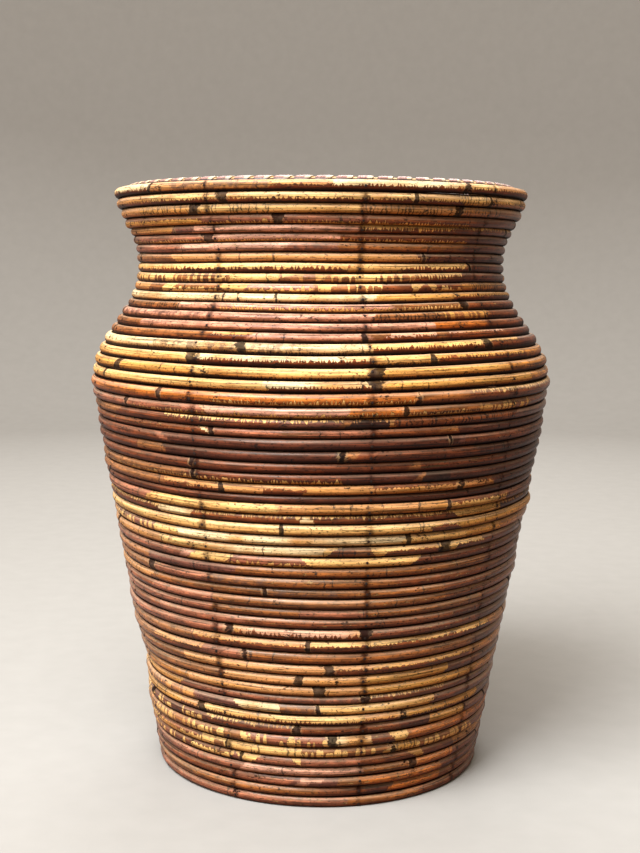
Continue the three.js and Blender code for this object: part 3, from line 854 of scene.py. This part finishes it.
# Sheen of the varnish, and relief.
bare = n.most(ring_dark, stain, n.times(painted_groove_shade, 0.8))
sheen = n.times(n.rest(bare), n.spread(kept, 0.45, 1.0), given["Varnish"])
sheen = n.times(sheen, n.spread(n.step(up, -0.5, 0.1), 0.4, 1.0))
n.join(n.times(sheen, n.spread(blotch, 0.6, 1.1)), out["Coat"])
n.join(n.plus(n.spread(sheen, 0.72, 0.5), n.times(n.minus(0.5, fibre), 0.25)), out["Roughness"])
relief = n.plus(n.times(kept, 0.14), n.times(fibre, 0.12, given["Fibre"]))
relief = n.minus(relief, n.times(crack, 0.2))
relief = n.plus(relief, n.times(n.most(ring_dark, ring_pale), 0.12))
n.join(n.plus(relief, n.times(speck, 0.08)), out["Height"])

cane_finish = {}
# Each finish: its varnish, the strength of its painted highlight, and the depth of its relief.
for slot, varnish, rubbed, depth in (("straw", 0.5, 0.6, 1.1), ("honey", 0.5, 0.5, 1.0),
                                     ("russet", 0.42, 0.4, 0.9), ("dark", 0.32, 0.2, 0.9)):
    material, n, shader = finish(
        f"Varnished {slot} cane", 0.5, coat_roughness=0.2, coat_ior=1.48, specular_ior_level=0.1)
    skin = n.effect(skin_group, varnish=varnish, rubbed=rubbed, fibre=depth)
    n.join(skin["Colour"], shader["Base Color"])
    n.join(skin["Roughness"], shader["Roughness"])
    n.join(skin["Coat"], shader["Coat Weight"])
    n.join(n.bump(skin["Height"], 0.9, 0.001), shader["Normal"])
    cane_finish[slot] = material

for number, (first, last, slot) in enumerate(zip(CANE_ENDS, CANE_ENDS[1:], CANE_SLOTS), 1):
    cane = wind_cane(f"wound_cane_{number:02}", first, last)
    fit(cane, cane_finish[slot], f"{slot}_cane", f"cane_{number:02}")


# Nails: thin wire nails with small domed heads, one through each course at each upright. The iron
# has gone dark and rusty and has stained the cane round it. Their form is given from the point up,
# as distance out of the cane and radius.
NAIL_SIDES = 10
NAIL_FORM = np.array([
    (-8.6, 0.12), (-7.4, 0.5), (-0.3, 0.5), (-0.25, 0.9), (0.1, 1.0), (0.3, 0.75), (0.4, 0.3),
])

iron, n, shader = finish("Rusted nail iron", 0.6, metallic=0.7)
rust = n.noise(n.spot(), 1.3, 4.0, 0.65)
n.join(n.mix(n.step(rust, 0.4, 0.65), colour(38, 34, 33), colour(72, 42, 28)), shader["Base Color"])
n.join(n.spread(rust, 0.4, 0.9), shader["Roughness"])
n.join(n.bump(rust, 0.4, 0.0003), shader["Normal"])

circle = 2 * np.pi * np.arange(NAIL_SIDES) / NAIL_SIDES
for upright in range(UPRIGHTS):
    points, faces = [], []
    for course in range(COURSES):
        bay, tilt, _ = nail_spot(course * UPRIGHTS + upright)
        head, point = (on_cane(np.array([bay]), np.array([tilt]), h)[0] for h in (0.0, -1.0))
        axis = (head - point) / np.linalg.norm(head - point)
        side = np.cross(axis, (0, 0, 1)) / np.linalg.norm(np.cross(axis, (0, 0, 1)))
        rise = np.cross(side, axis)
        spokes = [math.cos(t) * side + math.sin(t) * rise for t in circle]
        start = len(points)
        for reach, radius in NAIL_FORM * 0.001:
            points += [head + axis * reach + radius * spoke for spoke in spokes]
        last = len(NAIL_FORM) - 1
        for ring in range(last):
            low = start + ring * NAIL_SIDES
            faces += [(low + k, low + (k + 1) % NAIL_SIDES, low + NAIL_SIDES + (k + 1) % NAIL_SIDES,
                       low + NAIL_SIDES + k) for k in range(NAIL_SIDES)]
        faces.append(tuple(range(start + NAIL_SIDES - 1, start - 1, -1)))
        faces.append(tuple(range(start + last * NAIL_SIDES, start + (last + 1) * NAIL_SIDES)))
    nails = bpy.data.meshes.new(f"nails_{upright + 1}")
    nails.from_pydata(points, [], faces)
    bm = bmesh.new()
    bm.from_mesh(nails)
    bmesh.ops.recalc_face_normals(bm, faces=bm.faces)
    bm.to_mesh(nails)
    bm.free()
    nails.polygons.foreach_set("use_smooth", [True] * len(nails.polygons))
    nails.set_sharp_from_angle(angle=math.radians(40))
    fit(bpy.data.objects.new(f"nails_{upright + 1}", nails), iron, None)


# Rim hoop: a peeled round cane bent into a ring on top of the uprights, just inside the top
# course. It is pale, and shows between the turns of the binding.
HOOP_RADIUS, HOOP_HEIGHT, HOOP_HALF = 148.91, 457.39, 4.15
HOOP_SIDES = 18
# Painted shade for the hoop and binding: below these heights in mm they go dark, in the gap just above the
# top course.
HOOP_SHADE_TOP = (460.9, 460.1)
RIM_GAP_SHADE = colour(46, 24, 16)

peeled, n, shader = finish("Peeled cane", 0.55, specular_ior_level=0.35)
fibre, blotch = n.effect(fibre_group, where=n.mark("lie"), length=30.0, width=0.5)
wood = n.mix(fibre, colour(176, 128, 78), colour(240, 210, 158))
height = n.parts(n.spot())[2]
# Painted shade: the hoop goes dark below the given height, where it meets the top course.
wood = n.mix(n.step(height, *HOOP_SHADE_TOP), wood, RIM_GAP_SHADE)
n.join(n.dim(wood, n.spread(blotch, 0.75, 1.2)), shader["Base Color"])
n.join(n.spread(fibre, 0.65, 0.5), shader["Roughness"])
n.join(n.bump(fibre, 0.6, 0.0004), shader["Normal"])

degrees = np.arange(0, 360, 1.0)[:, None]
turn = 2 * np.pi * np.arange(HOOP_SIDES)[None, :] / HOOP_SIDES
rings = place(HOOP_RADIUS + HOOP_HALF * np.cos(turn), HOOP_HEIGHT + HOOP_HALF * np.sin(turn), degrees)
lie = together(np.radians(degrees) * HOOP_RADIUS, CANE_HALF * np.cos(turn), CANE_HALF * np.sin(turn))
fit(loft("peeled_hoop", rings, closed=True, lie=lie), peeled, "hoop", "rim_hoop")


# Rim binding: three strips of split cane, bark side out, wound slantwise round the hoop and tucked
# in. The bark is pinkish brown, with a pale edge along one side where the strip was split.
STRIPS, WRAPS_PER_STRIP = 3, 22
WRAP_STEPS, WRAP_LENGTH, WRAP_CUT = 36, 34, 0.25
STRIP_REACH, STRIP_THICKNESS = 4.25, 1.0
STRIP_MIDDLE = STRIP_REACH + STRIP_THICKNESS / 2
STRIP_SHADE_TOP = (461.3, 460.2)

strip_bark, n, shader = finish("Split cane bark", 0.45, coat_roughness=0.25, specular_ior_level=0.4)
where = n.mark("lie")
fibre, blotch = n.effect(fibre_group, where=where, length=24.0, width=0.5)
run, across, out_side = n.parts(where)
wood = n.mix(n.step(fibre, 0.3, 0.7), colour(124, 84, 76), colour(198, 152, 142))
pale_edge = n.step(n.plus(across, n.times(n.minus(fibre, 0.5), 2.0)), 1.2, 1.7)
wood = n.mix(pale_edge, wood, n.mix(fibre, colour(206, 170, 124), colour(250, 232, 200)))
edge = n.step(n.calc("ABSOLUTE", across), 3.7, 4.6)
wood = n.mix(n.times(edge, 0.6), wood, colour(64, 36, 26))
wood = n.mix(n.step(out_side, 0.5, 0.1), wood, colour(206, 168, 116))
height = n.parts(n.spot())[2]
# Painted shade: the strips go dark below the given height, where they meet the top course.
wood = n.mix(n.step(height, *STRIP_SHADE_TOP), wood, RIM_GAP_SHADE)
n.join(n.dim(wood, n.spread(blotch, 0.65, 1.3)), shader["Base Color"])
n.join(n.spread(fibre, 0.55, 0.36), shader["Roughness"])
n.join(n.spread(blotch, 0.2, 0.6), shader["Coat Weight"])
n.join(n.bump(fibre, 0.6, 0.0005), shader["Normal"])

strip_across = np.array([-4.4, -4.5, -4.1, -2.4, 0, 2.4, 4.1, 4.5, 4.4, 0])
strip_out = np.array([0.08, 0.5, 0.82, 0.96, 1.0, 0.96, 0.82, 0.5, 0.08, 0.0])
lift = STRIP_REACH + strip_out[None, :]
slope = 360 / (STRIPS * WRAPS_PER_STRIP)
lead = np.radians(slope) * HOOP_RADIUS / (2 * np.pi * STRIP_MIDDLE)
for strip in range(STRIPS):
    wraps = np.arange(0, WRAPS_PER_STRIP - WRAP_CUT, 1 / WRAP_STEPS)[:, None] + strip * WRAPS_PER_STRIP
    turn = 2 * np.pi * wraps - np.pi / 4
    tilt = turn - strip_across[None, :] * lead / STRIP_MIDDLE
    degrees = FIRST_UPRIGHT + wraps * slope + np.degrees(strip_across[None, :] / HOOP_RADIUS)
    rings = place(HOOP_RADIUS + lift * np.cos(tilt), HOOP_HEIGHT + lift * np.sin(tilt), degrees)
    lie = together(wraps * WRAP_LENGTH, strip_across[None, :], strip_out[None, :])
    binding = loft(f"binding_strip_{strip + 1}", rings, lie=lie)
    fit(binding, strip_bark, "binding", f"rim_binding_{strip + 1}")


# Studio: a round pale floor whose edge sweeps up into a low wall. A big soft lamp hangs high on the
# camera's left, a smaller one high in front and a weak one behind, with weak even light all round.
# The camera stands at the photo's place. Sizes here are in metres.
FLOOR_MIDDLE, FLOOR_REACH, SWEEP_RADIUS, WALL_TOP = 0.4, 2.2, 0.8, 1.5
SWEEP_STEP, FLOOR_SIDES = 9, 96
LAMPS = (
    ("key_lamp", (-1.02, -1.36, 2.35), 1.6, 119),
    ("top_lamp", (-0.2, -1.2, 2.4), 1.2, 35),
    ("back_lamp", (0.15, 1.75, 1.9), 1.4, 32),
)
LAMP_AIM = Vector((0, 0, 0.25))
SKY_COLOUR, SKY_STRENGTH = (1.0, 0.8, 0.57, 1.0), 0.46
CAMERA_SPOT = (0, -1.0829, 0.4020)
CAMERA_TILT, CAMERA_ROLL = 83.055, 0.346

sweep = [(0.0, 0.0), (FLOOR_MIDDLE, 0.0), (FLOOR_REACH, 0.0)]
for step in range(SWEEP_STEP, 91, SWEEP_STEP):
    rise = math.radians(step)
    sweep.append((FLOOR_REACH + SWEEP_RADIUS * math.sin(rise), SWEEP_RADIUS * (1 - math.cos(rise))))
sweep.append((FLOOR_REACH + SWEEP_RADIUS, WALL_TOP))
sweep_mesh = bpy.data.meshes.new("studio_floor")
bm = bmesh.new()
lines = [bm.verts.new((r, 0, z)) for r, z in sweep]
for one, two in zip(lines, lines[1:]):
    bm.edges.new((one, two))
bmesh.ops.spin(bm, geom=bm.verts[:] + bm.edges[:], axis=(0, 0, 1), cent=(0, 0, 0),
               angle=2 * math.pi, steps=FLOOR_SIDES)
bmesh.ops.remove_doubles(bm, verts=bm.verts, dist=1e-5)
bmesh.ops.recalc_face_normals(bm, faces=bm.faces)
for face in bm.faces:
    face.smooth = True
bm.to_mesh(sweep_mesh)
bm.free()
pale, n, shader = finish("Pale studio floor", 0.9, specular_ior_level=0.1)
grain = n.noise(n.spot(), 0.04, 3.0)
path = n.put("LightPath").outputs
seen = n.most(path["Is Camera Ray"], path["Is Glossy Ray"], path["Is Transmission Ray"])
shown = n.mix(grain, colour(168, 166, 162), colour(176, 174, 170))
n.join(n.mix(seen, colour(104, 84, 62), shown), shader["Base Color"])
sweep_mesh.materials.append(pale)
studio_floor = bpy.data.objects.new("studio_floor", sweep_mesh)
bpy.context.scene.collection.objects.link(studio_floor)

for name, spot, size, power in LAMPS:
    light = bpy.data.lights.new(name, "AREA")
    light.size, light.energy = size, power
    lamp = bpy.data.objects.new(name, light)
    lamp.location = spot
    lamp.rotation_euler = (lamp.location - LAMP_AIM).to_track_quat("Z", "Y").to_euler()
    bpy.context.scene.collection.objects.link(lamp)

world = bpy.data.worlds.new("Studio")
bpy.context.scene.world = world
world.use_nodes = True
sky = world.node_tree.nodes["Background"].inputs
sky["Color"].default_value = SKY_COLOUR
sky["Strength"].default_value = SKY_STRENGTH

lens = bpy.data.cameras.new("photo_camera")
lens.lens, lens.sensor_width = 56.42, 36.0
photo_camera = bpy.data.objects.new("photo_camera", lens)
tilt = Matrix.Rotation(math.radians(CAMERA_TILT), 4, "X")
roll = Matrix.Rotation(math.radians(CAMERA_ROLL), 4, "Z")
photo_camera.matrix_world = Matrix.Translation(CAMERA_SPOT) @ tilt @ roll
bpy.context.scene.collection.objects.link(photo_camera)
bpy.context.scene.camera = photo_camera
bpy.context.scene.view_settings.view_transform = "Standard"
